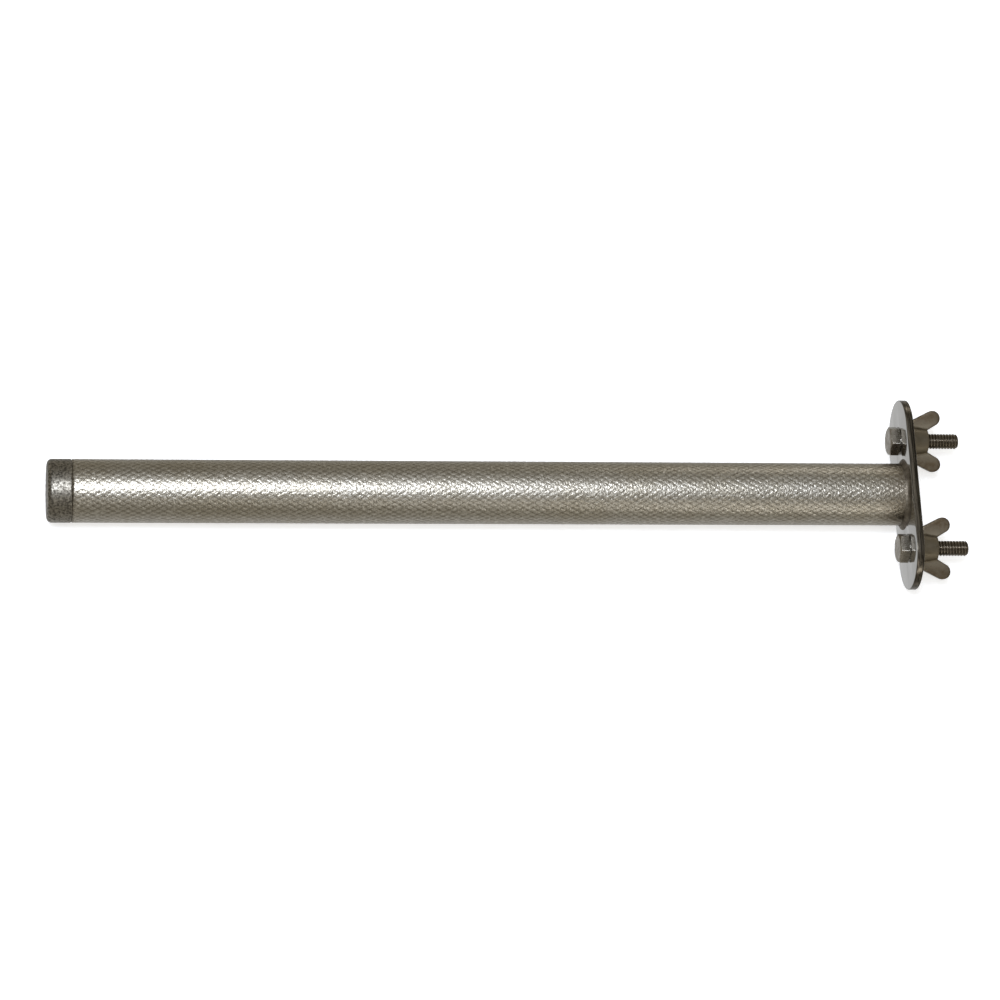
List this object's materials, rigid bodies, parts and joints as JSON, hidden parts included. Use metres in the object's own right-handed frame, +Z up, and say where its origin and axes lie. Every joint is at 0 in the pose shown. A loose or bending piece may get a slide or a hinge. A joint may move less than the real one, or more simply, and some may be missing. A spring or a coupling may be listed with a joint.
{
  "type": "bolt-on knurled grip bar",
  "caption": "Round knurled steel tube with a plugged free end, welded to a round-ended plate that bolts, flat washers and wing nuts clamp in place.",
  "frame": {"origin": "centre of the mounting plate's outer face", "axes": "+X out of the plate's outer face along the bolts, with the tube running towards -X; +Y along the plate's long side; +Z up as the bar lies on a table"},
  "size_m": [0.381, 0.0826, 0.0318],
  "materials": {
    "knurled_steel": "fine diamond knurl, satin",
    "cap_steel": "coarse blasted",
    "weld_steel": "as welded, brushed off",
    "plate_steel": "mirror polish",
    "bolt_steel": "bright rolled",
    "washer_steel": "stamped, tumbled",
    "cast_steel": "cast, tumbled satin"
  },
  "bodies": {
    "bar": {"knurled_tube": "knurled_steel", "end_cap": "cap_steel", "root_weld": "weld_steel", "mounting_plate": "plate_steel"},
    "bolt_a": {"hex_bolt_a": "bolt_steel"},
    "washer_a": {"flat_washer_a": "washer_steel"},
    "nut_a": {"wing_nut_a": "cast_steel"},
    "bolt_b": {"hex_bolt_b": "bolt_steel"},
    "washer_b": {"flat_washer_b": "washer_steel"},
    "nut_b": {"wing_nut_b": "cast_steel"}
  },
  "joints": [
    {"name": "bolt_a_turn", "type": "hinge", "parent": "bar", "child": "bolt_a", "pos_m": [0, 0.024, 0], "axis": [1, 0, 0], "continuous": true},
    {"name": "washer_a_slide", "type": "slide", "parent": "bolt_a", "child": "washer_a", "axis": [1, 0, 0], "range_m": [0, 0.01779]},
    {"name": "nut_a_turn", "type": "hinge", "parent": "washer_a", "child": "nut_a", "pos_m": [0, 0.024, 0], "axis": [1, 0, 0], "range_deg": [0, 5040]},
    {"name": "bolt_b_turn", "type": "hinge", "parent": "bar", "child": "bolt_b", "pos_m": [0, -0.024, 0], "axis": [1, 0, 0], "continuous": true},
    {"name": "washer_b_slide", "type": "slide", "parent": "bolt_b", "child": "washer_b", "axis": [1, 0, 0], "range_m": [0, 0.01779]},
    {"name": "nut_b_turn", "type": "hinge", "parent": "washer_b", "child": "nut_b", "pos_m": [0, -0.024, 0], "axis": [1, 0, 0], "range_deg": [0, 5040]}
  ],
  "couplings": [
    {"joint": "washer_a_slide", "follows": "nut_a_turn", "m_per_rad": 0.00020213},
    {"joint": "washer_b_slide", "follows": "nut_b_turn", "m_per_rad": 0.00020213}
  ]
}
